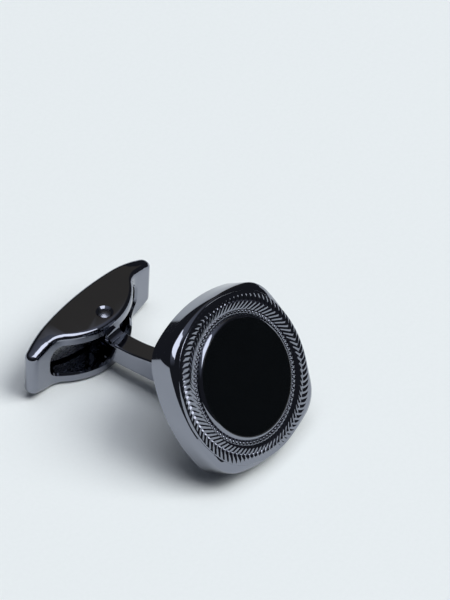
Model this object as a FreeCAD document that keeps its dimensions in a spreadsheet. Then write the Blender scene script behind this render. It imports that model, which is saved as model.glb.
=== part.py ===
import FreeCAD, Part
import math
import os
import Sketcher
from FreeCAD import Placement, Rotation, Vector

# Cufflink: cushion-shaped head with a round inlay, curved post and swivel toggle.
# Millimetres. The pin's axis is Z, the toggle lies along X and the head faces -Y.
# The part lies as on a table: toggle cheek and lower edge of the head on Z = 0.

# Driving sizes, one row per cell of the spreadsheet
SIZES = [
    # head
    ("head_width", 16.0),
    ("side_radius", 14.8),
    ("corner_radius", 3.5),
    ("face_height", 3.25),
    ("shoulder_bevel", 0.42),
    ("back_chamfer", 0.3),
    ("head_tilt", 34.4),
    ("head_reach", 13.9),
    # engraved ring, setting and inlay
    ("ring_margin", 0.15),
    ("ring_width", 1.45),
    ("ring_crest", 0.25),
    ("ring_slope", 0.4),
    ("recess_floor", 2.1),
    ("collar_land", 0.06),
    ("inlay_thickness", 1.28),
    ("inlay_edge", 0.1),
    ("bed_thickness", 0.2),
    ("bead_radius", 0.15),
    ("bevel_width", 0.5),
    ("bevel_rise", 0.24),
    # closing plate
    ("rim_width", 0.8),
    ("ledge_width", 0.9),
    ("plate_thickness", 1.0),
    ("hollow_depth", 0.45),
    # post
    ("post_width", 2.1),
    ("neck_height", 2.15),
    ("neck_drop", 0.3),
    ("bend_start", 2.2),
    ("bend_radius", 12.0),
    ("top_rise", 13.5),
    ("under_rise", 5.5),
    ("post_edge", 0.2),
    ("knuckle_end", 1.2),
    ("knuckle_front", 1.0),
    ("knuckle_corner", 0.45),
    ("root_round", 0.75),
    ("tenon_drop", 2.1),
    ("tenon_height", 1.8),
    ("tenon_width", 1.4),
    ("rivet_rim", 0.35),
    ("rivet_height", 0.3),
    # toggle
    ("toggle_length", 17.6),
    ("toggle_height", 6.2),
    ("cheek_run", 4.25),
    ("cheek_radius", 11.0),
    ("nose_reach", 1.45),
    ("nose_radius", 7.0),
    ("waist_radius", 2.0),
    ("tip_radius", 0.75),
    ("back_reach", 3.75),
    ("back_radius", 33.0),
    ("outer_edge", 0.55),
    ("tip_length", 2.5),
    ("slot_height", 3.6),
    ("slot_corner", 1.5),
    ("back_wall", 0.28),
    ("lip_edge", 0.2),
    # pin and spring
    ("pin_radius", 0.6),
    ("pin_dome", 0.14),
    ("dish_radius", 0.85),
    ("dish_depth", 0.15),
    ("spring_end", 1.3),
    ("spring_thickness", 0.22),
    ("spring_height", 2.9),
    # fits
    ("press_fit", 0.02),
    ("running_fit", 0.05),
    ("cheek_play", 0.1),
    ("fold_play", 0.15),
    ("spring_gap", 0.03),
]

# Cuts start this far outside the material
OVERCUT = 1.0

doc = FreeCAD.newDocument("cufflink")
sheet = doc.addObject("Spreadsheet::Sheet", "Sizes")
for row, (alias, value) in enumerate(SIZES, start=1):
    sheet.set(f"A{row}", alias)
    sheet.set(f"B{row}", str(value))
    sheet.setAlias(f"B{row}", alias)
doc.recompute()
size = dict(SIZES)

# Sizes that follow from the driving ones, as expressions on the sheet
PIN_MID = "Sizes.toggle_height / 2"
SLOT_LENGTH = "(Sizes.toggle_length - 2 * Sizes.tip_length)"
CHEEK_FLAT = "(Sizes.toggle_length - 2 * Sizes.cheek_run)"
BACK_CENTRE = "(Sizes.back_reach - Sizes.back_radius)"
BACK_AT_SLOT_END = f"({BACK_CENTRE} + sqrt(Sizes.back_radius ^ 2 - {SLOT_LENGTH} ^ 2 / 4))"
SLOT_BACK = f"({BACK_AT_SLOT_END} - Sizes.back_wall)"
NECK_MID = f"({PIN_MID} - Sizes.neck_drop)"
RING_OUTER = "(Sizes.head_width / 2 - Sizes.ring_margin)"
SETTING_RADIUS = f"({RING_OUTER} - Sizes.ring_width)"
COLLAR_OUTER = f"({SETTING_RADIUS} - Sizes.press_fit)"
BEAD_FOOT = f"({COLLAR_OUTER} - 2 * Sizes.bead_radius)"
BEVEL_FOOT = f"({BEAD_FOOT} - Sizes.collar_land)"
COLLAR_BORE = f"({BEVEL_FOOT} - Sizes.bevel_width)"
INLAY_RADIUS = f"({COLLAR_BORE} - Sizes.press_fit)"
INLAY_TOP = "(Sizes.recess_floor + Sizes.bed_thickness + Sizes.inlay_thickness)"
BEAD_LEVEL = f"({INLAY_TOP} - Sizes.bevel_rise)"
NECK_TOP = f"({NECK_MID} + Sizes.neck_height / 2)"
BACK_Y = "-Sizes.head_reach"
BACK_Z = "Sizes.head_width / 2 * cos(Sizes.head_tilt) - Sizes.back_chamfer * sin(Sizes.head_tilt)"
KNUCKLE_HEIGHT = "Sizes.slot_height - 2 * Sizes.cheek_play"
SPRING_FRONT = "(Sizes.knuckle_end + Sizes.spring_gap)"
SPRING_RISE = f"({SLOT_BACK} - Sizes.spring_thickness - Sizes.spring_gap - {SPRING_FRONT})"
SPRING_SPAN = f"({SLOT_LENGTH} - 2 * Sizes.spring_end)"
SPRING_RADIUS = f"(({SPRING_SPAN} ^ 2 / 4 + {SPRING_RISE} ^ 2) / (2 * {SPRING_RISE}))"


def worth(expression):
    """Number that an expression on the sheet gives now."""
    value = sheet.evalExpression(expression)
    return float(getattr(value, "Value", value))


def new_body(label):
    body = doc.addObject("PartDesign::Body", label)
    body.Label = label
    return body


def new_head_body(label):
    """Body in the head's own frame: X across, Y up the face, Z out of the face, origin on its back."""
    body = new_body(label)
    body.Placement = Placement(Vector(), Rotation(Vector(1, 0, 0), 90))
    body.setExpression("Placement.Base.y", BACK_Y)
    body.setExpression("Placement.Base.z", BACK_Z)
    body.setExpression("Placement.Rotation.Angle", "90 - Sizes.head_tilt")
    return body


def new_sketch(body, name, role, height=None):
    """Sketch on one of the body's origin planes, moved along the plane's normal by height."""
    plane = next(f for f in body.Origin.OriginFeatures if f.Role == role)
    sketch = body.newObject("Sketcher::SketchObject", name)
    sketch.AttachmentSupport = [(plane, "")]
    sketch.MapMode = "FlatFace"
    if height is not None:
        sketch.setExpression("AttachmentOffset.Base.z", height)
    return sketch


def line(sketch, start, end):
    return sketch.addGeometry(Part.LineSegment(Vector(*start), Vector(*end)), False)


def arc(sketch, centre, radius, first, last):
    """Arc drawn anticlockwise between two angles in degrees."""
    circle = Part.Circle(Vector(*centre), Vector(0, 0, 1), radius)
    return sketch.addGeometry(Part.ArcOfCircle(circle, math.radians(first), math.radians(last)), False)


def rule(sketch, kind, *refs):
    sketch.addConstraint(Sketcher.Constraint(kind, *refs))


def dimension(sketch, kind, *refs_and_expression):
    """Constraint whose value is bound to an expression on the sheet."""
    *refs, expression = refs_and_expression
    value = worth(expression)
    if kind == "Angle":
        value = math.radians(value)
    index = sketch.addConstraint(Sketcher.Constraint(kind, *refs, value))
    sketch.setExpression(f"Constraints[{index}]", expression)


X_AXIS, Y_AXIS = range(-1, -3, -1)
START, END, CENTRE = range(1, 4)
ORIGIN = (X_AXIS, START)


def place(sketch, point, x=None, y=None):
    """Fixes a point's distances from the sketch's origin."""
    if x is not None:
        dimension(sketch, "DistanceX", *ORIGIN, *point, x)
    if y is not None:
        dimension(sketch, "DistanceY", *ORIGIN, *point, y)


def polygon(sketch, corners):
    """Closed outline of straight sides whose corners are pairs of expressions."""
    points = [(worth(x), worth(y)) for x, y in corners]
    sides = [line(sketch, (*a, 0), (*b, 0)) for a, b in zip(points, points[1:] + points[:1])]
    for side, after in zip(sides, sides[1:] + sides[:1]):
        rule(sketch, "Coincident", side, END, after, START)
    for side, (x, y) in zip(sides, corners):
        place(sketch, (side, START), x, y)
    return sides


def rectangle(sketch, left, bottom, right, top):
    return polygon(sketch, [(left, bottom), (right, bottom), (right, top), (left, top)])


def circle(sketch, radius):
    """Circle about the sketch's origin."""
    index = sketch.addGeometry(Part.Circle(Vector(), Vector(0, 0, 1), worth(radius)), False)
    rule(sketch, "Coincident", index, CENTRE, *ORIGIN)
    dimension(sketch, "Radius", index, radius)


def feature(body, kind, name, profile, **settings):
    """Sketch-based feature; a setting given as text is an expression on the sheet."""
    item = body.newObject(f"PartDesign::{kind}", name)
    item.Profile = profile
    for key, value in settings.items():
        if isinstance(value, str) and value.find("Sizes.") >= 0:
            item.setExpression(key, value)
        else:
            setattr(item, key, value)
    doc.recompute()
    return item


def turned(body, kind, name, profile):
    """Revolution or groove about the sketch's vertical axis."""
    return feature(body, kind, name, profile, ReferenceAxis=(profile, ["V_Axis"]))


def soften(body, kind, name, radius, wanted):
    """Fillet or chamfer on the edges of the body's tip that a test picks."""
    base = body.Tip
    edges = [f"Edge{i}" for i, e in enumerate(base.Shape.Edges, start=1) if wanted(e)]
    item = body.newObject(f"PartDesign::{kind}", name)
    item.Base = (base, edges)
    item.setExpression("Size" if kind == "Chamfer" else "Radius", radius)
    doc.recompute()
    return item


def lies_at(edge, axis, level):
    """Whether an edge lies in the plane at a level along an axis."""
    low = getattr(edge.BoundBox, f"{axis}Min")
    high = getattr(edge.BoundBox, f"{axis}Max")
    return abs(low - level) < 1e-4 and abs(high - level) < 1e-4


def cushion(sketch, inset="0"):
    """Cushion outline: four bulged sides joined by four round corners, drawn in by an inset."""
    half = worth(f"Sizes.head_width / 2 - ({inset})")
    side = worth(f"Sizes.side_radius - ({inset})")
    corner = worth(f"Sizes.corner_radius - ({inset})")
    offset = side - half
    reach = side - corner
    mid = (-offset + math.sqrt(2 * reach ** 2 - offset ** 2)) / 2
    lean = math.degrees(math.atan2(mid, mid + offset))
    sides, corners = [], []
    for turn in (0, 90, 180, 270):
        along = Rotation(Vector(0, 0, 1), turn)
        sides.append(arc(sketch, along.multVec(Vector(-offset, 0, 0)), side, turn - lean, turn + lean))
        centre = along.multVec(Vector(mid, mid, 0))
        corners.append(arc(sketch, centre, corner, turn + lean, turn + 90 - lean))
    for index in range(4):
        rule(sketch, "Tangent", sides[index], END, corners[index], START)
        rule(sketch, "Tangent", corners[index], END, sides[(index + 1) % 4], START)
        dimension(sketch, "Radius", sides[index], f"Sizes.side_radius - ({inset})")
        dimension(sketch, "Radius", corners[index], f"Sizes.corner_radius - ({inset})")
        axis = X_AXIS if index % 2 == 0 else Y_AXIS
        rule(sketch, "PointOnObject", sides[index], CENTRE, axis)
    far = "Sizes.side_radius - Sizes.head_width / 2"
    dimension(sketch, "DistanceX", sides[0], CENTRE, *ORIGIN, far)
    dimension(sketch, "DistanceY", sides[1], CENTRE, *ORIGIN, far)
    dimension(sketch, "DistanceX", *ORIGIN, sides[2], CENTRE, far)
    dimension(sketch, "DistanceY", *ORIGIN, sides[3], CENTRE, far)


def make_bezel_case():
    """Cast head: cushion block with bevelled shoulder, raised ring, setting recess and hollow back."""
    body = new_head_body("bezel_case")
    outline = new_sketch(body, "CaseOutline", "XY_Plane")
    cushion(outline)
    feature(body, "Pad", "CaseBlock", outline, Length="Sizes.face_height")
    soften(body, "Chamfer", "Shoulder", "Sizes.shoulder_bevel",
           lambda e: lies_at(e, "Z", size["face_height"]))
    soften(body, "Chamfer", "BackEdge", "Sizes.back_chamfer", lambda e: lies_at(e, "Z", 0))

    # raised ring that carries the engraving
    section = new_sketch(body, "RingSection", "XZ_Plane")
    foot = "Sizes.face_height - Sizes.shoulder_bevel"
    crest = "Sizes.face_height + Sizes.ring_crest"
    polygon(section, [
        (SETTING_RADIUS, foot),
        (RING_OUTER, foot),
        (RING_OUTER, "Sizes.face_height"),
        (f"{RING_OUTER} - Sizes.ring_slope", crest),
        (f"{SETTING_RADIUS} + Sizes.ring_slope", crest),
        (SETTING_RADIUS, "Sizes.face_height"),
    ])
    turned(body, "Revolution", "EngravedRing", section)

    recess = new_sketch(body, "SettingRecess", "XY_Plane", "Sizes.recess_floor")
    circle(recess, SETTING_RADIUS)
    feature(body, "Pocket", "Recess", recess, Type="ThroughAll", Reversed=True)

    seat = new_sketch(body, "PlateSeat", "XY_Plane")
    cushion(seat, "Sizes.rim_width")
    feature(body, "Pocket", "Seat", seat, Length="Sizes.plate_thickness", Reversed=True)

    hollow = new_sketch(body, "HollowOutline", "XY_Plane")
    cushion(hollow, "Sizes.rim_width + Sizes.ledge_width")
    feature(body, "Pocket", "Hollow", hollow, Length="Sizes.plate_thickness + Sizes.hollow_depth",
            Reversed=True)
    return body


def make_beaded_ring():
    """Setting ring: a polished bevel falls from the inlay's edge to a row of beads."""
    body = new_head_body("beaded_ring")
    section = new_sketch(body, "CollarSection", "XZ_Plane")
    polygon(section, [
        (COLLAR_BORE, "Sizes.recess_floor"),
        (COLLAR_OUTER, "Sizes.recess_floor"),
        (COLLAR_OUTER, BEAD_LEVEL),
        (f"{COLLAR_OUTER} - Sizes.bead_radius", f"{BEAD_LEVEL} + Sizes.bead_radius"),
        (BEAD_FOOT, BEAD_LEVEL),
        (BEVEL_FOOT, BEAD_LEVEL),
        (COLLAR_BORE, INLAY_TOP),
    ])
    turned(body, "Revolution", "Collar", section)
    return body


def make_disc(label, radius, floor, thickness):
    body = new_head_body(label)
    outline = new_sketch(body, "DiscOutline", "XY_Plane", floor)
    circle(outline, radius)
    feature(body, "Pad", "Disc", outline, Length=thickness)
    return body


def make_onyx_inlay():
    """Flat polished disc with a fine bevel round its face."""
    floor = "Sizes.recess_floor + Sizes.bed_thickness"
    body = make_disc("onyx_inlay", INLAY_RADIUS, floor, "Sizes.inlay_thickness")
    soften(body, "Chamfer", "FaceEdge", "Sizes.inlay_edge", lambda e: lies_at(e, "Z", worth(INLAY_TOP)))
    return body


def make_inlay_bed():
    """Adhesive layer between the recess floor and the inlay."""
    return make_disc("inlay_bed", f"{INLAY_RADIUS} - Sizes.inlay_edge", "Sizes.recess_floor",
                     "Sizes.bed_thickness")


def make_back_plate():
    """Plate let into the back of the case, pierced for the post's tenon."""
    body = new_head_body("back_plate")
    outline = new_sketch(body, "PlateOutline", "XY_Plane")
    cushion(outline, "Sizes.rim_width + Sizes.press_fit")
    feature(body, "Pad", "Plate", outline, Length="Sizes.plate_thickness")
    mortise = new_sketch(body, "Mortise", "XY_Plane")
    half_width = "Sizes.tenon_width / 2 + Sizes.press_fit"
    half_height = "Sizes.tenon_height / 2 + Sizes.press_fit"
    rectangle(mortise, f"-({half_width})", f"-Sizes.tenon_drop - ({half_height})",
              half_width, f"-Sizes.tenon_drop + {half_height}")
    feature(body, "Pocket", "TenonHole", mortise, Type="ThroughAll", Reversed=True)
    return body


def neck_profile(sketch):
    """Side view of the post: level at the pin, then bent up and flared towards the tilted head."""
    mid, half = worth(NECK_MID), size["neck_height"] / 2
    start, radius = size["bend_start"], size["bend_radius"]
    back_y, back_z = worth(BACK_Y), worth(BACK_Z)
    tilt = math.radians(size["head_tilt"])

    def bend_and_rise(level, degrees):
        """End of the bend, and where the straight run from it meets the head's back."""
        angle = math.radians(degrees)
        y = -start - radius * math.sin(angle)
        z = level + radius * (1 - math.cos(angle))
        run = (y - back_y - (z - back_z) * math.tan(tilt)) / (1 + math.tan(angle) * math.tan(tilt))
        return (y, z, 0), (y - run, z + run * math.tan(angle), 0)

    top_bend, top_end = bend_and_rise(mid + half, size["top_rise"])
    low_bend, low_end = bend_and_rise(mid - half, size["under_rise"])
    top = line(sketch, (0, mid + half, 0), (-start, mid + half, 0))
    top_arc = arc(sketch, (-start, mid + half + radius, 0), radius, 270 - size["top_rise"], 270)
    top_run = line(sketch, top_bend, top_end)
    foot = line(sketch, low_end, top_end)
    low_run = line(sketch, low_bend, low_end)
    low_arc = arc(sketch, (-start, mid - half + radius, 0), radius, 270 - size["under_rise"], 270)
    low = line(sketch, (-start, mid - half, 0), (0, mid - half, 0))
    rear = line(sketch, (0, mid - half, 0), (0, mid + half, 0))
    rule(sketch, "Tangent", top, END, top_arc, END)
    rule(sketch, "Tangent", top_arc, START, top_run, START)
    rule(sketch, "Coincident", top_run, END, foot, END)
    rule(sketch, "Coincident", low_run, END, foot, START)
    rule(sketch, "Tangent", low_run, START, low_arc, START)
    rule(sketch, "Tangent", low_arc, END, low, START)
    rule(sketch, "Coincident", low, END, rear, START)
    rule(sketch, "Coincident", rear, END, top, START)
    rule(sketch, "Horizontal", top)
    rule(sketch, "Horizontal", low)
    rule(sketch, "Vertical", rear)
    rule(sketch, "PointOnObject", rear, START, Y_AXIS)
    place(sketch, (top, START), y=NECK_TOP)
    place(sketch, (low, END), y=f"{NECK_MID} - Sizes.neck_height / 2")
    dimension(sketch, "DistanceX", top, END, *ORIGIN, "Sizes.bend_start")
    dimension(sketch, "DistanceX", low, START, *ORIGIN, "Sizes.bend_start")
    for bend, run, rise in ((top_arc, top_run, "top_rise"), (low_arc, low_run, "under_rise")):
        dimension(sketch, "Radius", bend, "Sizes.bend_radius")
        dimension(sketch, "Angle", run, f"180 - Sizes.{rise}")
    dimension(sketch, "Angle", foot, "90 - Sizes.head_tilt")
    centre = sketch.addGeometry(Part.Point(Vector(back_y, back_z, 0)), True)
    dimension(sketch, "DistanceX", centre, START, *ORIGIN, "Sizes.head_reach")
    place(sketch, (centre, START), y=BACK_Z)
    rule(sketch, "PointOnObject", centre, START, foot)


def root_profile(sketch):
    """Side view of the hollow round that leads the neck's top up into the knuckle's front."""
    ahead = "(-Sizes.knuckle_front - Sizes.root_round)"
    inside = "(-Sizes.knuckle_front + Sizes.post_edge)"
    above = f"({NECK_TOP} + Sizes.root_round)"
    below = f"({NECK_TOP} - Sizes.post_edge)"
    front = -size["knuckle_front"]
    round_centre = (worth(ahead), worth(above), 0)
    hollow = arc(sketch, round_centre, size["root_round"], 270, 360)
    top = line(sketch, (front, worth(above), 0), (worth(inside), worth(above), 0))
    rear = line(sketch, (worth(inside), worth(above), 0), (worth(inside), worth(below), 0))
    base = line(sketch, (worth(inside), worth(below), 0), (worth(ahead), worth(below), 0))
    toe = line(sketch, (worth(ahead), worth(below), 0), (worth(ahead), worth(NECK_TOP), 0))
    sides = [hollow, top, rear, base, toe]
    for side, after in zip(sides, sides[1:] + sides[:1]):
        rule(sketch, "Coincident", side, END, after, START)
    rule(sketch, "Horizontal", top)
    rule(sketch, "Vertical", rear)
    rule(sketch, "Horizontal", base)
    rule(sketch, "Vertical", toe)
    dimension(sketch, "Radius", hollow, "Sizes.root_round")
    place(sketch, (hollow, CENTRE), ahead, above)
    place(sketch, (top, START), y=above)
    place(sketch, (top, END), x=inside)
    place(sketch, (base, START), y=below)
    place(sketch, (toe, END), x=ahead)


def tilted_sketch(body, name):
    """Sketch in the YZ plane turned to the head: its X points out of the back, its Y up the face."""
    sketch = new_sketch(body, name, "YZ_Plane")
    sketch.AttachmentOffset = Placement(Vector(), Rotation(Vector(0, 0, -1), 30))
    sketch.setExpression("AttachmentOffset.Base.x", BACK_Y)
    sketch.setExpression("AttachmentOffset.Base.y", BACK_Z)
    sketch.setExpression("AttachmentOffset.Rotation.Angle", "Sizes.head_tilt")
    return sketch


def make_post():
    """Curved post: square cam knuckle on the pin, flared neck, tenon riveted through the plate."""
    body = new_body("post")
    side_view = new_sketch(body, "NeckProfile", "YZ_Plane")
    neck_profile(side_view)
    feature(body, "Pad", "Neck", side_view, Length="Sizes.post_width", SideType="Symmetric")
    soften(body, "Fillet", "NeckEdges", "Sizes.post_edge", is_neck_edge)

    plan = new_sketch(body, "KnucklePlan", "XY_Plane", f"{PIN_MID} - ({KNUCKLE_HEIGHT}) / 2")
    half = "Sizes.post_width / 2"
    rectangle(plan, f"-{half}", "-Sizes.knuckle_front", half, "Sizes.knuckle_end")
    feature(body, "Pad", "Knuckle", plan, Length=KNUCKLE_HEIGHT)
    soften(body, "Fillet", "CamCorners", "Sizes.knuckle_corner",
           lambda e: abs(e.CenterOfMass.y - size["knuckle_end"]) < 1e-4
           and abs(abs(e.CenterOfMass.x) - size["post_width"] / 2) < 1e-4)

    root = new_sketch(body, "RootProfile", "YZ_Plane")
    root_profile(root)
    feature(body, "Pad", "KnuckleRoot", root, Length="Sizes.post_width - 2 * Sizes.post_edge",
            SideType="Symmetric")

    tenon = tilted_sketch(body, "TenonSide")
    low = "-Sizes.tenon_drop - Sizes.tenon_height / 2"
    high = "-Sizes.tenon_drop + Sizes.tenon_height / 2"
    rectangle(tenon, "-Sizes.plate_thickness", low, "Sizes.post_edge", high)
    feature(body, "Pad", "Tenon", tenon, Length="Sizes.tenon_width", SideType="Symmetric")
    rivet = tilted_sketch(body, "RivetSide")
    rectangle(rivet, "-Sizes.plate_thickness - Sizes.rivet_height", f"{low} - Sizes.rivet_rim",
              "-Sizes.plate_thickness", f"{high} + Sizes.rivet_rim")
    feature(body, "Pad", "RivetHead", rivet, Length="Sizes.tenon_width + 2 * Sizes.rivet_rim",
            SideType="Symmetric")

    bore = new_sketch(body, "PinBore", "XY_Plane")
    circle(bore, "Sizes.pin_radius + Sizes.running_fit")
    feature(body, "Pocket", "Bore", bore, Type="ThroughAll", Reversed=True)
    return body


def is_neck_edge(edge):
    """Whether an edge runs along the neck, on either flank."""
    box = edge.BoundBox
    on_flank = box.XLength < 1e-4 and abs(abs(box.XMin) - size["post_width"] / 2) < 1e-4
    steep = box.ZLength > box.YLength
    return on_flank and not steep


def toggle_plan(sketch):
    """Leaf outline from above: round nose, hollow waists, narrow arms, blunt tips and a bowed back."""
    nose_y = size["nose_radius"] - size["nose_reach"]
    back_y = worth(BACK_CENTRE)
    tip_x = size["toggle_length"] / 2 - size["tip_radius"]
    tip_reach = size["back_radius"] - size["tip_radius"]
    tip_y = back_y + math.sqrt(tip_reach ** 2 - tip_x ** 2)
    tip_turn = math.degrees(math.atan2(tip_y - back_y, tip_x))
    arm_x = worth(SLOT_LENGTH) / 2
    arm_y = size["post_width"] / 2 + size["fold_play"]
    # arm line: through the arm point, touching the tip's round from below
    gap = math.hypot(tip_x - arm_x, tip_y - arm_y)
    arm_lean = math.atan2(tip_y - arm_y, tip_x - arm_x) - math.asin(size["tip_radius"] / gap)
    across = Vector(math.sin(arm_lean), -math.cos(arm_lean), 0)
    arm_end = Vector(tip_x, tip_y, 0) + across * size["tip_radius"]
    # waist: round that touches the nose and the arm from the front
    along = Vector(math.cos(arm_lean), math.sin(arm_lean), 0)
    base = Vector(arm_x, arm_y, 0) + across * size["waist_radius"] - Vector(0, nose_y, 0)
    span = size["nose_radius"] + size["waist_radius"]
    shift = -base.dot(along) + math.sqrt(base.dot(along) ** 2 - base.dot(base) + span ** 2)
    waist = base + along * shift + Vector(0, nose_y, 0)
    arm_start = waist - across * size["waist_radius"]
    nose_turn = math.degrees(math.atan2(waist.y - nose_y, waist.x))
    arm_turn = 90 + math.degrees(arm_lean)

    nose = arc(sketch, (0, nose_y, 0), size["nose_radius"], 180 - nose_turn, 360 + nose_turn)
    back = arc(sketch, (0, back_y, 0), size["back_radius"], tip_turn, 180 - tip_turn)
    waist_right = arc(sketch, waist, size["waist_radius"], arm_turn, 180 + nose_turn)
    waist_left = arc(sketch, (-waist.x, waist.y, 0), size["waist_radius"], -nose_turn, 180 - arm_turn)
    arm_right = line(sketch, arm_start, arm_end)
    arm_left = line(sketch, (-arm_start.x, arm_start.y, 0), (-arm_end.x, arm_end.y, 0))
    tip_right = arc(sketch, (tip_x, tip_y, 0), size["tip_radius"], arm_turn - 180, tip_turn)
    tip_left = arc(sketch, (-tip_x, tip_y, 0), size["tip_radius"], 180 - tip_turn, 360 - arm_turn)
    rule(sketch, "Tangent", nose, END, waist_right, END)
    rule(sketch, "Tangent", waist_right, START, arm_right, START)
    rule(sketch, "Tangent", arm_right, END, tip_right, START)
    rule(sketch, "Tangent", tip_right, END, back, START)
    rule(sketch, "Tangent", back, END, tip_left, START)
    rule(sketch, "Tangent", tip_left, END, arm_left, END)
    rule(sketch, "Tangent", arm_left, START, waist_left, END)
    rule(sketch, "Tangent", waist_left, START, nose, START)
    for curve, radius, level in ((nose, "Sizes.nose_radius", "Sizes.nose_radius - Sizes.nose_reach"),
                                 (back, "Sizes.back_radius", BACK_CENTRE)):
        rule(sketch, "PointOnObject", curve, CENTRE, Y_AXIS)
        dimension(sketch, "Radius", curve, radius)
        place(sketch, (curve, CENTRE), y=level)
    sides = [(tip_right, waist_right, arm_right, 1), (tip_left, waist_left, arm_left, -1)]
    for tip, hollow, arm, sign in sides:
        dimension(sketch, "Radius", tip, "Sizes.tip_radius")
        dimension(sketch, "Radius", hollow, "Sizes.waist_radius")
        place(sketch, (tip, CENTRE), x=f"{sign} * (Sizes.toggle_length / 2 - Sizes.tip_radius)")
        point = sketch.addGeometry(Part.Point(Vector(sign * arm_x, arm_y, 0)), True)
        place(sketch, (point, START), f"{sign} * {SLOT_LENGTH} / 2",
              "Sizes.post_width / 2 + Sizes.fold_play")
        rule(sketch, "PointOnObject", point, START, arm)


def make_toggle_shell():
    """Hollow swivel bar: leaf plan, cheeks that thin towards the tips, slot open towards the head."""
    body = new_body("toggle_shell")
    plan = new_sketch(body, "TogglePlan", "XY_Plane")
    toggle_plan(plan)
    feature(body, "Pad", "ToggleBlock", plan, Length="Sizes.toggle_height")

    # cheeks curve in towards the tips: what lies outside the side view is cut away
    side = new_sketch(body, "CheekCurve", "XZ_Plane")
    flat, height = worth(CHEEK_FLAT) / 2, size["toggle_height"]
    reach = size["toggle_length"] / 2 + OVERCUT
    lean = math.degrees(math.asin((reach - flat) / size["cheek_radius"]))
    drop = size["cheek_radius"] * (1 - math.cos(math.radians(lean)))
    limit = f"(Sizes.toggle_length / 2 + {OVERCUT})"
    for level, outward in ((height, 1), (0, -1)):
        middle = level - outward * size["cheek_radius"]
        first, last = (90 - lean, 90) if outward > 0 else (-90, -90 + lean)
        right = arc(side, (flat, middle, 0), size["cheek_radius"], first, last)
        left = arc(side, (-flat, middle, 0), size["cheek_radius"], *sorted((180 - first, 180 - last)))
        tip_pos, flat_pos = (START, END) if outward > 0 else (END, START)
        face = line(side, (-flat, level, 0), (flat, level, 0))
        wall_right = line(side, (reach, level - outward * drop, 0), (reach, level + outward * OVERCUT, 0))
        wall_left = line(side, (-reach, level - outward * drop, 0), (-reach, level + outward * OVERCUT, 0))
        lid = line(side, (-reach, level + outward * OVERCUT, 0), (reach, level + outward * OVERCUT, 0))
        rule(side, "Tangent", face, END, right, flat_pos)
        rule(side, "Tangent", face, START, left, END if flat_pos == START else START)
        rule(side, "Coincident", right, tip_pos, wall_right, START)
        rule(side, "Coincident", left, END if tip_pos == START else START, wall_left, START)
        rule(side, "Coincident", wall_right, END, lid, END)
        rule(side, "Coincident", wall_left, END, lid, START)
        rule(side, "Vertical", wall_right)
        rule(side, "Vertical", wall_left)
        rule(side, "Horizontal", lid)
        rule(side, "Horizontal", face)
        for curve in (right, left):
            dimension(side, "Radius", curve, "Sizes.cheek_radius")
        top = "Sizes.toggle_height" if outward > 0 else "0"
        place(side, (face, START), f"-{CHEEK_FLAT} / 2", top)
        place(side, (face, END), x=f"{CHEEK_FLAT} / 2")
        place(side, (wall_right, START), x=limit)
        place(side, (wall_left, START), x=f"-{limit}")
        place(side, (lid, START), y=f"{top} {'+' if outward > 0 else '-'} {OVERCUT}")
    feature(body, "Pocket", "Cheeks", side, Type="ThroughAll", SideType="Symmetric")

    soften(body, "Fillet", "CheekEdges", "Sizes.outer_edge", is_cheek_edge)

    slot = new_sketch(body, "SlotMouth", "XZ_Plane", f"-{SLOT_BACK}")
    rectangle(slot, f"-{SLOT_LENGTH} / 2", f"{PIN_MID} - Sizes.slot_height / 2",
              f"{SLOT_LENGTH} / 2", f"{PIN_MID} + Sizes.slot_height / 2")
    feature(body, "Pocket", "Slot", slot, Type="ThroughAll", Reversed=True)
    soften(body, "Fillet", "SlotCorners", "Sizes.slot_corner", is_slot_corner)
    soften(body, "Chamfer", "SlotLips", "Sizes.lip_edge", is_slot_lip)

    # bore for the pin, dished at both faces for its riveted ends
    bore = new_sketch(body, "PinHole", "XZ_Plane")
    hole = "Sizes.pin_radius + Sizes.press_fit"
    height = "Sizes.toggle_height"
    polygon(bore, [
        ("0", f"-{OVERCUT}"),
        ("Sizes.dish_radius", f"-{OVERCUT}"),
        ("Sizes.dish_radius", "0"),
        (hole, "Sizes.dish_depth"),
        (hole, f"{height} - Sizes.dish_depth"),
        ("Sizes.dish_radius", height),
        ("Sizes.dish_radius", f"{height} + {OVERCUT}"),
        ("0", f"{height} + {OVERCUT}"),
    ])
    turned(body, "Groove", "PinBore", bore)
    return body


def is_cheek_edge(edge):
    """Whether an edge of the toggle runs round a cheek, not up its wall or across its face."""
    box = edge.BoundBox
    upright = box.XLength < 1e-4 and box.YLength < 1e-4
    across = box.XLength < 1e-4 and isinstance(edge.Curve, Part.Line)
    return not upright and not across


def is_slot_corner(edge):
    """Whether an edge is one of the slot's four corners, which run along Y."""
    at = edge.CenterOfMass
    height = worth(PIN_MID)
    return (abs(abs(at.x) - worth(SLOT_LENGTH) / 2) < 1e-4
            and abs(abs(at.z - height) - size["slot_height"] / 2) < 1e-4
            and edge.BoundBox.XLength < 1e-4 and edge.BoundBox.ZLength < 1e-4)


def is_slot_lip(edge):
    """Whether an edge runs round the slot's mouth on the front of the toggle."""
    box = edge.BoundBox
    height = worth(PIN_MID)
    inside = (box.ZMin > height - size["slot_height"] / 2 - 1e-4
              and box.ZMax < height + size["slot_height"] / 2 + 1e-4)
    along = box.XLength < 1e-4 and box.ZLength < 1e-4
    return inside and not along and box.YMin < worth(SLOT_BACK) - 1e-4


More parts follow.
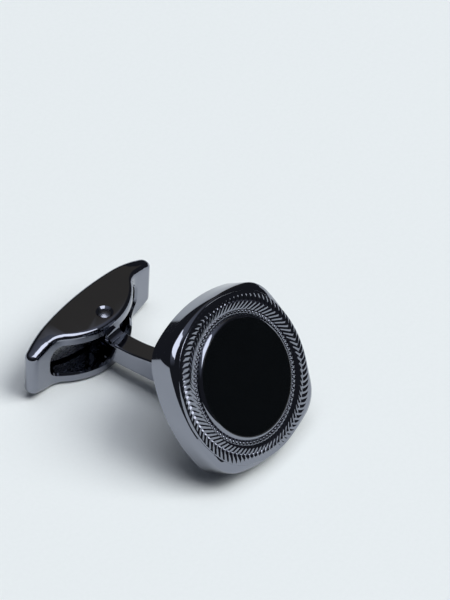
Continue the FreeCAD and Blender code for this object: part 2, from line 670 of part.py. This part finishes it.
def make_pivot_pin():
    """Pin riveted in the toggle's cheeks, with a low dome at each end."""
    body = new_body("pivot_pin")
    section = new_sketch(body, "PinSection", "XZ_Plane")
    radius, dome = size["pin_radius"], size["pin_dome"]
    low, high = size["press_fit"], size["toggle_height"] - size["press_fit"]
    ball = (radius ** 2 + dome ** 2) / (2 * dome)
    lean = math.degrees(math.asin(radius / ball))
    axis = line(section, (0, high, 0), (0, low, 0))
    bottom = arc(section, (0, low + ball, 0), ball, 270, 270 + lean)
    wall = line(section, (radius, low + dome, 0), (radius, high - dome, 0))
    top = arc(section, (0, high - ball, 0), ball, 90 - lean, 90)
    for side, after in ((axis, bottom), (bottom, wall), (wall, top), (top, axis)):
        rule(section, "Coincident", side, END, after, START)
    for end in (bottom, top):
        rule(section, "PointOnObject", end, CENTRE, Y_AXIS)
    lowest = "Sizes.press_fit"
    highest = "Sizes.toggle_height - Sizes.press_fit"
    rule(section, "PointOnObject", axis, START, Y_AXIS)
    rule(section, "PointOnObject", axis, END, Y_AXIS)
    place(section, (axis, START), y=highest)
    place(section, (axis, END), y=lowest)
    place(section, (wall, START), "Sizes.pin_radius", f"{lowest} + Sizes.pin_dome")
    place(section, (wall, END), "Sizes.pin_radius", f"{highest} - Sizes.pin_dome")
    turned(body, "Revolution", "Pin", section)
    return body


def make_leaf_spring():
    """Bowed strip between the slot's back and the knuckle's flat end."""
    body = new_body("leaf_spring")
    plan = new_sketch(body, "SpringPlan", "XY_Plane", f"{PIN_MID} - Sizes.spring_height / 2")
    outer = worth(SPRING_RADIUS)
    inner = outer - size["spring_thickness"]
    centre = (0, worth(SPRING_FRONT) + outer, 0)
    lean = math.degrees(math.asin(worth(SPRING_SPAN) / 2 / outer))

    def on_strip(radius, degrees):
        angle = math.radians(degrees)
        return (radius * math.cos(angle), centre[1] + radius * math.sin(angle), 0)

    front = arc(plan, centre, outer, 270 - lean, 270 + lean)
    rear = arc(plan, centre, inner, 270 - lean, 270 + lean)
    left = line(plan, on_strip(outer, 270 - lean), on_strip(inner, 270 - lean))
    right = line(plan, on_strip(outer, 270 + lean), on_strip(inner, 270 + lean))
    rule(plan, "Coincident", front, START, left, START)
    rule(plan, "Coincident", rear, START, left, END)
    rule(plan, "Coincident", front, END, right, START)
    rule(plan, "Coincident", rear, END, right, END)
    rule(plan, "Coincident", front, CENTRE, rear, CENTRE)
    rule(plan, "PointOnObject", front, CENTRE, Y_AXIS)
    place(plan, (front, CENTRE), y=f"{SPRING_FRONT} + {SPRING_RADIUS}")
    dimension(plan, "Radius", front, SPRING_RADIUS)
    dimension(plan, "Radius", rear, f"{SPRING_RADIUS} - Sizes.spring_thickness")
    place(plan, (front, START), x=f"-{SPRING_SPAN} / 2")
    place(plan, (front, END), x=f"{SPRING_SPAN} / 2")
    rule(plan, "PointOnObject", front, CENTRE, left)
    rule(plan, "PointOnObject", front, CENTRE, right)
    feature(body, "Pad", "Strip", plan, Length="Sizes.spring_height")
    return body


bodies = [
    make_bezel_case(),
    make_beaded_ring(),
    make_onyx_inlay(),
    make_inlay_bed(),
    make_back_plate(),
    make_post(),
    make_toggle_shell(),
    make_pivot_pin(),
    make_leaf_spring(),
]
doc.recompute()

for item in doc.Objects:
    if "Invalid" in item.State or "Error" in item.State:
        raise RuntimeError(f"{item.Label} failed: {item.State}")
os.makedirs("parts", exist_ok=True)
for body in bodies:
    if body.Shape.isNull() or not body.Shape.isValid() or len(body.Shape.Solids) != 1:
        raise RuntimeError(f"{body.Label} is not one valid solid")
for body in bodies:
    body.Shape.exportStep(f"parts/{body.Label}.step")
    box = body.Shape.BoundBox
    print(f"{body.Label}: {body.Shape.Volume:.2f} mm3, Y {box.YMin:.2f} to {box.YMax:.2f}, "
          f"Z {box.ZMin:.2f} to {box.ZMax:.2f}")
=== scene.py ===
import math

import bpy
import numpy as np
from mathutils import Matrix, Vector


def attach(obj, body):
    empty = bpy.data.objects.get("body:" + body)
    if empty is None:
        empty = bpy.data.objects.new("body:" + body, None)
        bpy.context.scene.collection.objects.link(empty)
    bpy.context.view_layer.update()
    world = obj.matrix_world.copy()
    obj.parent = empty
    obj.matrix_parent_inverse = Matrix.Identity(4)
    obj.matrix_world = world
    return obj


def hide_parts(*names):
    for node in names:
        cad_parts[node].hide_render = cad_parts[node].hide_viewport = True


# Cufflink: cushion-shaped head with an engraved ring round a black inlay, curved post, swivel toggle.
# Metres in the part's frame; sizes below are in millimetres, as a maker reads them off the bench.
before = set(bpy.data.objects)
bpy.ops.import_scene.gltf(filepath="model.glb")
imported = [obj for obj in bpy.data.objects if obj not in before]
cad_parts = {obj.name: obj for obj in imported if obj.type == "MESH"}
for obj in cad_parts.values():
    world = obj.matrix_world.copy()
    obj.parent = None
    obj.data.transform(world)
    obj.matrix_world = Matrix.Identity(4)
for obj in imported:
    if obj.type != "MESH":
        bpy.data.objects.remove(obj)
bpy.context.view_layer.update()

MM = 0.001

# Head: its back lies across the post's end, tilted up from the table
HEAD_TILT = math.radians(34.4)
HEAD_BACK = Vector((0, -13.9, 6.4315))
HEAD_UP = Vector((0, math.sin(HEAD_TILT), math.cos(HEAD_TILT)))
HEAD_OUT = Vector((0, -math.cos(HEAD_TILT), math.sin(HEAD_TILT)))
HEAD_HALF = 8.0
SIDE_RADIUS = 14.8
CORNER_RADIUS = 3.5
BACK_CHAMFER = 0.3
RIM_WIDTH = 0.8
LEDGE_WIDTH = 0.9
PLATE_SEAT = 1.0
HOLLOW_FLOOR = 1.45
# Shoulder: heights over the distance in from the outline; a polished bevel runs up into a slight crown
SHOULDER_INSETS = (0, 0.015, 0.04, 0.08, 0.22, 0.36, 0.43, 0.5, 0.6, 0.8, 1.12)
SHOULDER_HEIGHTS = (2.75, 2.8, 2.84, 2.876, 2.981, 3.08, 3.112, 3.135, 3.162, 3.212, 3.29)

# Engraved ring: a domed band cut into chevron ridges, which run out at the shoulder
RING_APEX = 7.15
RING_CREST = 3.45
INNER_LEG, OUTER_LEG = 0.87, 0.71
INNER_FOOT, OUTER_FOOT = 3.3, 3.25
# The outer legs are longer towards the head's corners
RING_SPREAD = 0.3
INNER_SWEEP, OUTER_SWEEP = math.radians(7.5), math.radians(4.5)
RIDGES = 88
RIDGE_STEPS = 12
RIDGE_DEPTH = 0.125
RIDGE_CREST = -1 / 6
RIDGE_END = 0.05
RING_ROWS = 28
RECESS_FLOOR = 2.1
# Powers of the way along a leg: how the leg bends, how the dome falls and how the groove gets shallow
INNER_BEND, OUTER_BEND = 1.2, 1.5
INNER_FALL, OUTER_FALL = 2, 1.5
INNER_FADE, OUTER_FADE = 0.5, 1.25
# Share of the groove's depth that is gone at the inner end
INNER_LOSS = 0.88

# Setting collar: a rounded lip, burnished over the inlay's edge, falls to a low row of beads
COLLAR_BORE = 5.52
COLLAR_OUTER = 6.26
LIP_ROUND = 0.54
LIP_START, LIP_END = math.radians(20), math.radians(70)
LIP_ROWS = 8
BEAD_HALF = 0.18
BEAD_RISE = 0.12
BEAD_DIP = 0.1
BEADS = 88
BEAD_STEPS = 10
BEAD_ROWS = 11

# Inlay: a flat disc with a softened edge
INLAY_RADIUS = 5.5
INLAY_TOP = 3.58
INLAY_FLOOR = 2.3
INLAY_EDGE = 0.06
INLAY_STEPS = 240
EDGE_ROWS = 5

# Shading: edges sharper than this stay crisp
CRISP_EDGE = math.radians(30)
WELD_GAP = 0.0005

# Surfaces: how large the clouds, lines and ripples are that each of them shows
PLATE_CLOUD, PLATE_HAZE, PLATE_SWELL = 3.0, 0.25, 1.6
ONYX_BAND, ONYX_LAP, ONYX_RIPPLE = 2.5, 0.3, 0.0003
ROLLING_LINE, ROLLING_DEPTH = 0.12, 0.003
EPOXY_CLOUD, EPOXY_DEPTH = 1.0, 0.01
BOARD_TOOTH, BOARD_DEPTH = 0.4, 0.01
ONYX_IOR, EPOXY_IOR = 1.54, 1.55
# Most of a noise lies between these values
NOISE_LOW, NOISE_HIGH = 0.3, 0.7


def linear(colour):
    """sRGB hex to the linear RGBA that shaders take."""
    parts = [int(colour[i:i + 2], 16) / 255 for i in (1, 3, 5)]
    return tuple(c / 12.92 if c <= 0.04045 else ((c + 0.055) / 1.055) ** 2.4 for c in parts) + (1.0,)


def per_metre(size):
    """Texture scale that gives features of a size in millimetres."""
    return 1 / (size * MM)


def add(tree, kind, inputs=(), **settings):
    """Adds a node with its settings; an input is a value or a socket to link from."""
    node = tree.nodes.new(kind)
    for name, value in settings.items():
        setattr(node, name, value)
    for socket, value in dict(inputs).items():
        if isinstance(value, bpy.types.NodeSocket):
            tree.links.new(value, node.inputs[socket])
        else:
            node.inputs[socket].default_value = value
    return node


def new_material(name):
    """Empty node material; returns it with its tree, its shader and its object coordinates."""
    material = bpy.data.materials.new(name)
    material.use_nodes = True
    tree = material.node_tree
    shader = tree.nodes["Principled BSDF"]
    place = add(tree, "ShaderNodeTexCoord").outputs["Object"]
    return material, tree, shader, place


def finish(tree, shader, cloud, tints, haze, rough, relief, depth):
    """Lets the colour drift between two tints and the roughness in a range, and adds a bump of a depth."""
    colours = {"Factor": cloud.outputs["Fac"], "A": linear(tints[0]), "B": linear(tints[1])}
    drift = add(tree, "ShaderNodeMix", colours, data_type="RGBA")
    gloss = add(tree, "ShaderNodeMapRange", {"Value": haze.outputs["Fac"], "From Min": NOISE_LOW,
                                             "From Max": NOISE_HIGH, "To Min": rough[0], "To Max": rough[1]})
    bump = add(tree, "ShaderNodeBump", {"Height": relief.outputs["Fac"], "Strength": 1.0,
                                        "Distance": depth * MM})
    tree.links.new(drift.outputs["Result"], shader.inputs["Base Color"])
    tree.links.new(gloss.outputs["Result"], shader.inputs["Roughness"])
    tree.links.new(bump.outputs["Normal"], shader.inputs["Normal"])


def plated_metal(name, tints, rough, ripple):
    """Metal plated over a polished casting: a mirror with faint clouds, haze and a slow swell."""
    material, tree, shader, place = new_material(name)
    cloud = add(tree, "ShaderNodeTexNoise", {"Vector": place, "Scale": per_metre(PLATE_CLOUD), "Detail": 2.0})
    haze = add(tree, "ShaderNodeTexNoise", {"Vector": place, "Scale": per_metre(PLATE_HAZE), "Detail": 4.0})
    swell = add(tree, "ShaderNodeTexNoise", {"Vector": place, "Scale": per_metre(PLATE_SWELL), "Detail": 1.0})
    shader.inputs["Metallic"].default_value = 1.0
    finish(tree, shader, cloud, tints, haze, rough, swell, ripple)
    return material


def polished_onyx():
    """Dyed onyx, lapped flat: near black, faint bands under a glassy polish."""
    material, tree, shader, place = new_material("polished_onyx")
    bands = add(tree, "ShaderNodeTexNoise", {"Vector": place, "Scale": per_metre(ONYX_BAND), "Detail": 3.0,
                                             "Distortion": 1.5})
    lap = add(tree, "ShaderNodeTexNoise", {"Vector": place, "Scale": per_metre(ONYX_LAP), "Detail": 3.0})
    shader.inputs["IOR"].default_value = ONYX_IOR
    finish(tree, shader, bands, ("#040607", "#07090B"), lap, (0.03, 0.07), lap, ONYX_RIPPLE)
    return material


def drawn_spring_steel():
    """Cold-rolled spring strip: grey, with fine rolling lines along its length."""
    material, tree, shader, place = new_material("drawn_spring_steel")
    along = add(tree, "ShaderNodeMapping", {"Vector": place, "Scale": (0.05, 1.0, 1.0)})
    lines = add(tree, "ShaderNodeTexNoise", {"Vector": along.outputs["Vector"],
                                             "Scale": per_metre(ROLLING_LINE), "Detail": 3.0})
    shader.inputs["Metallic"].default_value = 1.0
    finish(tree, shader, lines, ("#A4A6A8", "#B9BABB"), lines, (0.22, 0.36), lines, ROLLING_DEPTH)
    return material


def cured_epoxy():
    """Two-part adhesive: amber grey and glossy, with small clouds."""
    material, tree, shader, place = new_material("cured_epoxy")
    cloud = add(tree, "ShaderNodeTexNoise", {"Vector": place, "Scale": per_metre(EPOXY_CLOUD), "Detail": 3.0})
    shader.inputs["IOR"].default_value = EPOXY_IOR
    finish(tree, shader, cloud, ("#8C8470", "#A69D86"), cloud, (0.25, 0.4), cloud, EPOXY_DEPTH)
    return material


def pale_board():
    """Matt photographer's board: cool white, with a faint paper tooth."""
    material, tree, shader, place = new_material("pale_board")
    tooth = add(tree, "ShaderNodeTexNoise", {"Vector": place, "Scale": per_metre(BOARD_TOOTH), "Detail": 3.0})
    colours = {"Factor": tooth.outputs["Fac"], "A": linear("#E7ECED"), "B": linear("#EBF0F1")}
    drift = add(tree, "ShaderNodeMix", colours, data_type="RGBA")
    bump = add(tree, "ShaderNodeBump", {"Height": tooth.outputs["Fac"], "Strength": 0.2,
                                        "Distance": BOARD_DEPTH * MM})
    shader.inputs["Specular IOR Level"].default_value = 0.0
    shader.inputs["Roughness"].default_value = 0.9
    tree.links.new(drift.outputs["Result"], shader.inputs["Base Color"])
    tree.links.new(bump.outputs["Normal"], shader.inputs["Normal"])
    return material


def cushion_reach(angle, inset):
    """Distance from the head's middle to its cushion outline, drawn in by an inset."""
    side, corner = SIDE_RADIUS - inset, CORNER_RADIUS - inset
    offset = SIDE_RADIUS - HEAD_HALF
    reach = SIDE_RADIUS - CORNER_RADIUS
    middle = (-offset + math.sqrt(2 * reach ** 2 - offset ** 2)) / 2
    lean = math.atan2(middle, middle + offset)
    join = math.atan2(side * math.sin(lean), side * math.cos(lean) - offset)
    quarter = math.pi / 2
    turn = np.abs((angle + quarter / 2) % quarter - quarter / 2)
    on_side = -offset * np.cos(turn) + np.sqrt(side ** 2 - (offset * np.sin(turn)) ** 2)
    towards = middle * (np.cos(turn) + np.sin(turn))
    on_corner = towards + np.sqrt(np.maximum(towards ** 2 - 2 * middle ** 2 + corner ** 2, 0))
    return np.where(turn <= join, on_side, on_corner)


def shoulder(inset):
    """Height of the head's polished shoulder at a distance in from the outline."""
    return np.interp(inset, SHOULDER_INSETS, SHOULDER_HEIGHTS)


def head_frame():
    """Head's own axes in the part's frame: X across, Y up the face, Z out of the face."""
    axes = Matrix((Vector((1, 0, 0)), HEAD_UP, HEAD_OUT)).transposed()
    return Matrix.Translation(HEAD_BACK) @ axes.to_4x4()


def shade_smooth(piece):
    """Smooth shading on every face."""
    piece.data.polygons.foreach_set("use_smooth", [True] * len(piece.data.polygons))


def turned_piece(name, rows, capped):
    """Mesh of closed rows round the head's axis, each a triple of angles, radii and heights."""
    count = len(rows[0][0])
    points = np.concatenate([np.stack([r * np.cos(a), r * np.sin(a), z + 0 * a], axis=1)
                             for a, r, z in rows])
    world = np.array(head_frame())
    points = (points @ world[:3, :3].T + world[:3, 3]) * MM
    column = np.arange(count)
    after = (column + 1) % count
    bands = list(zip(range(len(rows)), range(1, len(rows))))
    if not capped:
        bands.append((len(rows) - 1, 0))
    faces = [np.stack([lower * count + column, lower * count + after, upper * count + after,
                       upper * count + column], axis=1) for lower, upper in bands]
    faces = np.concatenate(faces).tolist()
    if capped:
        faces.append(list(range(count))[::-1])
        faces.append(list(range((len(rows) - 1) * count, len(rows) * count)))
    mesh = bpy.data.meshes.new(name)
    mesh.from_pydata(points.tolist(), [], faces)
    mesh.validate()
    piece = bpy.data.objects.new(name, mesh)
    bpy.context.scene.collection.objects.link(piece)
    shade_smooth(piece)
    mesh.set_sharp_from_angle(angle=CRISP_EDGE)
    return piece


def engraved_case():
    """Cushion case with its engraved ring: rows run from the recess over the ring to the hollow back."""
    count = RIDGES * RIDGE_STEPS
    column = np.arange(count)
    phase = (column % RIDGE_STEPS) / RIDGE_STEPS * 2 - 1
    groove = np.maximum((RIDGE_CREST - phase) / (1 + RIDGE_CREST),
                        (phase - RIDGE_CREST) / (1 - RIDGE_CREST))
    angle = column * 2 * math.pi / count
    outer_angle = angle + OUTER_SWEEP
    reach = cushion_reach(outer_angle, 0)
    outer_leg = OUTER_LEG + RING_SPREAD * (reach - HEAD_HALF)
    ring_end = RING_APEX + outer_leg
    ground = shoulder(reach - ring_end)

    rows = [(angle + INNER_SWEEP, RING_APEX - INNER_LEG + 0 * angle, RECESS_FLOOR + 0 * angle)]
    for step in range(RING_ROWS + 1):
        share = -math.cos(math.pi * step / RING_ROWS)
        along = abs(share)
        if share < 0:
            leg, foot, base = INNER_LEG, INNER_FOOT, INNER_FOOT
            sweep = INNER_SWEEP * along ** INNER_BEND
            depth = RIDGE_DEPTH * (1 - INNER_LOSS * along ** INNER_FADE)
            fall = along ** INNER_FALL
        else:
            leg, foot, base = outer_leg, np.maximum(ground, OUTER_FOOT), ground
            sweep = OUTER_SWEEP * along ** OUTER_BEND
            depth = RIDGE_DEPTH * (1 - along ** OUTER_FADE)
            fall = along ** OUTER_FALL
        ridge = RING_CREST - (RING_CREST - foot) * fall - depth * groove
        end = np.minimum(1, (1 - along) * leg / RIDGE_END)
        rounding = np.sqrt(1 - (1 - end) ** 2)
        rows.append((angle + sweep, RING_APEX + leg * share + 0 * angle, base + rounding * (ridge - base)))
    for inset in reversed(SHOULDER_INSETS[:-1]):
        drawn_in = inset / SHOULDER_INSETS[-1] * (reach - ring_end)
        rows.append((outer_angle, reach - drawn_in, shoulder(drawn_in)))
    ledge = RIM_WIDTH + LEDGE_WIDTH
    wall_and_back = ((0, (SHOULDER_HEIGHTS[0] + BACK_CHAMFER) / 2), (0, BACK_CHAMFER), (BACK_CHAMFER, 0),
                     (RIM_WIDTH, 0), (RIM_WIDTH, PLATE_SEAT), (ledge, PLATE_SEAT), (ledge, HOLLOW_FLOOR))
    for inset, height in wall_and_back:
        rows.append((outer_angle, cushion_reach(outer_angle, inset), height + 0 * angle))
    return turned_piece("engraved_case", rows, capped=True)


def plain_rows(angle, section):
    """Rows of a piece that is the same all round, from a section of radii and heights."""
    return [(angle, radius + 0 * angle, height + 0 * angle) for radius, height in section]


def beaded_collar():
    """Setting collar: bore, polished lip down to a land, and a row of raised beads."""
    count = BEADS * BEAD_STEPS
    column = np.arange(count)
    angle = column * 2 * math.pi / count
    phase = (column % BEAD_STEPS) / BEAD_STEPS * 2 - 1
    dip = BEAD_DIP / 2 * (1 - np.cos(math.pi * phase))
    level = INLAY_TOP - LIP_ROUND * (math.cos(LIP_START) - math.cos(LIP_END))
    middle = COLLAR_OUTER - BEAD_HALF
    section = [(COLLAR_BORE, RECESS_FLOOR)]
    for turn in np.linspace(LIP_START, LIP_END, LIP_ROWS):
        section.append((COLLAR_BORE + LIP_ROUND * (math.sin(turn) - math.sin(LIP_START)),
                        INLAY_TOP - LIP_ROUND * (math.cos(LIP_START) - math.cos(turn))))
    rows = plain_rows(angle, section)
    for turn in np.linspace(math.pi, 0, BEAD_ROWS):
        radius = middle + BEAD_HALF * math.cos(turn) + 0 * angle
        rows.append((angle, radius, level + (BEAD_RISE - dip) * math.sin(turn)))
    rows.append((angle, COLLAR_OUTER + 0 * angle, RECESS_FLOOR + 0 * angle))
    return turned_piece("beaded_collar", rows, capped=False)


def onyx_disc():
    """Flat inlay: straight side, softened edge and a level face."""
    angle = np.arange(INLAY_STEPS) * 2 * math.pi / INLAY_STEPS
    section = [(INLAY_RADIUS, INLAY_FLOOR)]
    for turn in np.linspace(0, math.pi / 2, EDGE_ROWS):
        section.append((INLAY_RADIUS - INLAY_EDGE * (1 - math.cos(turn)),
                        INLAY_TOP - INLAY_EDGE * (1 - math.sin(turn))))
    # Two level rows keep the face flat in its reflections
    section.extend([(INLAY_RADIUS - 2 * INLAY_EDGE, INLAY_TOP), (INLAY_RADIUS / 2, INLAY_TOP)])
    return turned_piece("onyx_disc", plain_rows(angle, section), capped=True)


def dress(piece, material):
    """Gives a piece one finish all over."""
    piece.data.materials.clear()
    piece.data.materials.append(material)


def dress_solid(node, material):
    """Gives a solid its finish, and roundings that read as round."""
    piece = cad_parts[node]
    dress(piece, material)
    shade_smooth(piece)
    weld = piece.modifiers.new("weld", "WELD")
    weld.merge_threshold = WELD_GAP * MM
    crisp = piece.modifiers.new("crisp_edges", "EDGE_SPLIT")
    crisp.split_angle = CRISP_EDGE
    crisp.use_edge_sharp = False
    piece.modifiers.new("even_shading", "WEIGHTED_NORMAL")


def set_on_head(piece, material, node):
    """Puts a modelled piece of the head in the place of its plain solid."""
    dress(piece, material)
    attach(piece, "head")
    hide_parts(node)


def softbox(name, towards, distance, width, height, colour, radiance, mirrored=True):
    """Rectangular lamp that faces the part from a direction, mirrored in the metal or not."""
    lamp = bpy.data.lights.new(name, "AREA")
    lamp.shape = "RECTANGLE"
    lamp.size, lamp.size_y = width, height
    lamp.color = linear(colour)[:3]
    lamp.energy = radiance * math.pi * width * height
    holder = bpy.data.objects.new(name, lamp)
    direction = Vector(towards).normalized()
    holder.location = direction * distance
    holder.visible_glossy = mirrored
    holder.rotation_euler = direction.to_track_quat("Z", "Y").to_euler()
    bpy.context.scene.collection.objects.link(holder)


# Black nickel over polished brass: a dark mirror with a cool grey cast
black_nickel = plated_metal("polished_black_nickel", ("#878A94", "#8D909A"), (0.03, 0.07), 0.0015)
# The same plate on the closing plate, polished a little less: softer, hazier reflections
satin_nickel = plated_metal("plain_black_nickel", ("#858892", "#8B8E98"), (0.06, 0.12), 0.002)
# The pin's end, hammered over the cheek before plating: a softer gleam that sinks into the cheek
peened_nickel = plated_metal("peened_black_nickel", ("#7C7F88", "#858892"), (0.2, 0.3), 0.004)

set_on_head(engraved_case(), black_nickel, "bezel_case")
set_on_head(beaded_collar(), black_nickel, "beaded_ring")
set_on_head(onyx_disc(), polished_onyx(), "onyx_inlay")

dress_solid("inlay_bed", cured_epoxy())
dress_solid("back_plate", satin_nickel)
dress_solid("post", black_nickel)
dress_solid("toggle_shell", black_nickel)
dress_solid("pivot_pin", peened_nickel)
dress_solid("leaf_spring", drawn_spring_steel())

# Stage, in metres: a pale board that fills the view, just under the part
BOARD_HALF = 8.0
BOARD_LEVEL = -0.00002
board_corners = [(x * BOARD_HALF, y * BOARD_HALF, BOARD_LEVEL)
                 for x, y in ((-1, -1), (1, -1), (1, 1), (-1, 1))]
board_mesh = bpy.data.meshes.new("board")
board_mesh.from_pydata(board_corners, [], [(0, 1, 2, 3)])
board = bpy.data.objects.new("board", board_mesh)
bpy.context.scene.collection.objects.link(board)
dress(board, pale_board())

# Lamps: a long softbox overhead, a fill that lights the board but isn't mirrored, a weak warm panel
LAMP_DISTANCE = 5.0
softbox("key_softbox", (0.0, -0.12, 1.0), LAMP_DISTANCE, 2.8, 5.2, "#F8FAFF", 2.6)
softbox("front_fill", (0.25, -0.5, 0.83), LAMP_DISTANCE, 3.0, 3.0, "#FEFEFB", 6.0, mirrored=False)
softbox("warm_panel", (0.62, 0.42, 0.66), LAMP_DISTANCE, 4.0, 3.0, "#FFEEC8", 0.06)

# The room is dim at the horizon and glows a little overhead, as under a white ceiling
CEILING_FROM = 0.7
HORIZON_GLOW, CEILING_GLOW = 0.045, 0.45
room = bpy.data.worlds.new("dim_room")
room.use_nodes = True
sky = room.node_tree.nodes["Background"]
upward = add(room.node_tree, "ShaderNodeSeparateXYZ",
             {"Vector": add(room.node_tree, "ShaderNodeTexCoord").outputs["Generated"]})
glow = add(room.node_tree, "ShaderNodeMapRange", {"Value": upward.outputs["Z"], "From Min": CEILING_FROM,
                                                  "From Max": 1.0, "To Min": HORIZON_GLOW,
                                                  "To Max": CEILING_GLOW})
sky.inputs["Color"].default_value = linear("#CED5E8")
room.node_tree.links.new(glow.outputs["Result"], sky.inputs["Strength"])
bpy.context.scene.world = room

# Camera: above and to the left of the head's face, far enough for little perspective
AIM = HEAD_BACK + HEAD_OUT * INLAY_TOP
AZIMUTH, ELEVATION, ROLL = (math.radians(a) for a in (-54.0, 43.9, 3.1))
DISTANCE = 400.0
FRAME_SHIFT = (-2.06, 7.09)
LENS = 261.9
NEAREST = 0.01
camera_data = bpy.data.cameras.new("photo_camera")
camera_data.lens = LENS
camera_data.clip_start = NEAREST
camera = bpy.data.objects.new("photo_camera", camera_data)
back = Vector((math.sin(AZIMUTH) * math.cos(ELEVATION), -math.cos(AZIMUTH) * math.cos(ELEVATION),
               math.sin(ELEVATION)))
level = Vector((0, 0, 1)).cross(back).normalized()
right = Matrix.Rotation(ROLL, 3, back) @ level
up = back.cross(right)
turn = Matrix((right, up, back)).transposed()
spot = (AIM + back * DISTANCE + right * FRAME_SHIFT[0] + up * FRAME_SHIFT[1]) * MM
camera.matrix_world = Matrix.Translation(spot) @ turn.to_4x4()
bpy.context.scene.collection.objects.link(camera)
bpy.context.scene.camera = camera
bpy.context.scene.view_settings.view_transform = "Standard"
